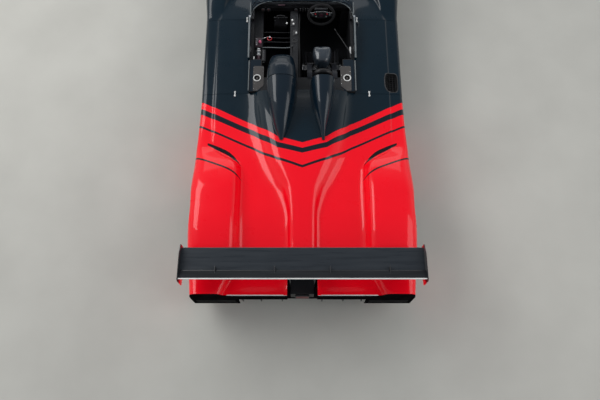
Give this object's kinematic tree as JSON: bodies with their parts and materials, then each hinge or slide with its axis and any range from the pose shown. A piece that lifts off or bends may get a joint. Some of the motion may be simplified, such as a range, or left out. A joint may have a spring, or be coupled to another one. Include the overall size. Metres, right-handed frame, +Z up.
{
  "type": "sports prototype race car",
  "caption": "Open-cockpit sports prototype race car that rolls on its wheels, with steered front wheels, hinged cockpit doors and a full-width rear wing.",
  "frame": {"origin": "on the ground under the middle of the car's bounding box", "axes": "+Z up, the nose points to -Y, +X is the car's left side; the driver sits on the right, at -X"},
  "size_m": [1.9946, 4.64, 0.9942],
  "materials": {
    "navy_paint": "gloss",
    "red_paint": "gloss",
    "wing_paint": "gloss",
    "carbon": "satin",
    "plank_wood": "satin",
    "tyre": "matte",
    "rim": "satin",
    "brake_iron": "machined",
    "upright_alloy": "satin",
    "arm_steel": "satin",
    "shaft_steel": "brushed",
    "engine_alloy": "cast",
    "gearbox_alloy": "cast",
    "radiator_alloy": "finned",
    "screen": "clear",
    "lamp_cover": "clear",
    "lamp": "polished",
    "rain_lamp": "gloss",
    "seat_fabric": "woven",
    "headrest_leather": "satin",
    "hoop_steel": "satin",
    "mirror_paint": "gloss",
    "grip_rubber": "matte",
    "hinge_steel": "brushed"
  },
  "bodies": {
    "chassis": {"monocoque": "carbon", "footbox": "carbon", "flat_floor": "carbon", "front_splitter": "carbon", "skid_plank": "plank_wood", "rear_diffuser": "carbon", "front_bodywork": "navy_paint", "left_sidepod": "navy_paint", "right_sidepod": "navy_paint", "rear_bodywork": "red_paint", "tail_panels": "carbon", "hoop_fairing": "navy_paint", "door_hinges": "hinge_steel", "windscreen": "screen", "dashboard": "carbon", "steering_column": "shaft_steel", "driver_seat": "seat_fabric", "headrest": "headrest_leather", "roll_hoops": "hoop_steel", "mirrors": "mirror_paint", "headlamps": "lamp", "headlamp_covers": "lamp_cover", "engine_block": "engine_alloy", "gearbox": "gearbox_alloy", "rear_crash_box": "carbon", "rain_light": "rain_lamp", "radiators": "radiator_alloy", "pedals": "shaft_steel", "wing_main_plane": "wing_paint", "wing_flap": "wing_paint", "wing_end_plates": "carbon", "wing_struts": "carbon", "front_wishbones": "arm_steel", "rear_wishbones": "arm_steel", "rear_uprights": "upright_alloy"},
    "front_left_upright": {"front_left_upright": "upright_alloy"},
    "front_left_wheel": {"front_left_rim": "rim", "front_left_tyre": "tyre", "front_left_brake_disc": "brake_iron"},
    "rear_left_wheel": {"rear_left_rim": "rim", "rear_left_tyre": "tyre", "rear_left_brake_disc": "brake_iron", "left_drive_shaft": "shaft_steel"},
    "left_door": {"left_door": "navy_paint"},
    "front_right_upright": {"front_right_upright": "upright_alloy"},
    "front_right_wheel": {"front_right_rim": "rim", "front_right_tyre": "tyre", "front_right_brake_disc": "brake_iron"},
    "rear_right_wheel": {"rear_right_rim": "rim", "rear_right_tyre": "tyre", "rear_right_brake_disc": "brake_iron", "right_drive_shaft": "shaft_steel"},
    "right_door": {"right_door": "navy_paint"},
    "steering_wheel": {"steering_wheel": "grip_rubber"}
  },
  "joints": [
    {"name": "front_left_steer", "type": "hinge", "parent": "chassis", "child": "front_left_upright", "pos_m": [0.755, -1.32, 0.325], "axis": [0, 0, 1], "range_deg": [-14, 14]},
    {"name": "front_right_steer", "type": "hinge", "parent": "chassis", "child": "front_right_upright", "pos_m": [-0.755, -1.32, 0.325], "axis": [0, 0, 1], "range_deg": [-14, 14]},
    {"name": "steering_wheel_turn", "type": "hinge", "parent": "chassis", "child": "steering_wheel", "pos_m": [-0.19, -0.478, 0.612], "axis": [0, 0.9848, 0.1736], "range_deg": [-140, 140]},
    {"name": "front_left_spin", "type": "hinge", "parent": "front_left_upright", "child": "front_left_wheel", "pos_m": [0.9, -1.32, 0.325], "axis": [1, 0, 0], "continuous": true},
    {"name": "rear_left_spin", "type": "hinge", "parent": "chassis", "child": "rear_left_wheel", "pos_m": [0.8, 1.56, 0.355], "axis": [1, 0, 0], "continuous": true},
    {"name": "left_door_hinge", "type": "hinge", "parent": "chassis", "child": "left_door", "pos_m": [0.509, -0.391, 0.65], "axis": [0, 0, -1], "range_deg": [0, 65]},
    {"name": "front_right_spin", "type": "hinge", "parent": "front_right_upright", "child": "front_right_wheel", "pos_m": [-0.9, -1.32, 0.325], "axis": [1, 0, 0], "continuous": true},
    {"name": "rear_right_spin", "type": "hinge", "parent": "chassis", "child": "rear_right_wheel", "pos_m": [-0.8, 1.56, 0.355], "axis": [1, 0, 0], "continuous": true},
    {"name": "right_door_hinge", "type": "hinge", "parent": "chassis", "child": "right_door", "pos_m": [-0.509, -0.391, 0.65], "axis": [0, 0, 1], "range_deg": [0, 65]}
  ],
  "couplings": [
    {"joint": "front_right_steer", "follows": "front_left_steer", "ratio": 1},
    {"joint": "steering_wheel_turn", "follows": "front_left_steer", "ratio": 10}
  ]
}
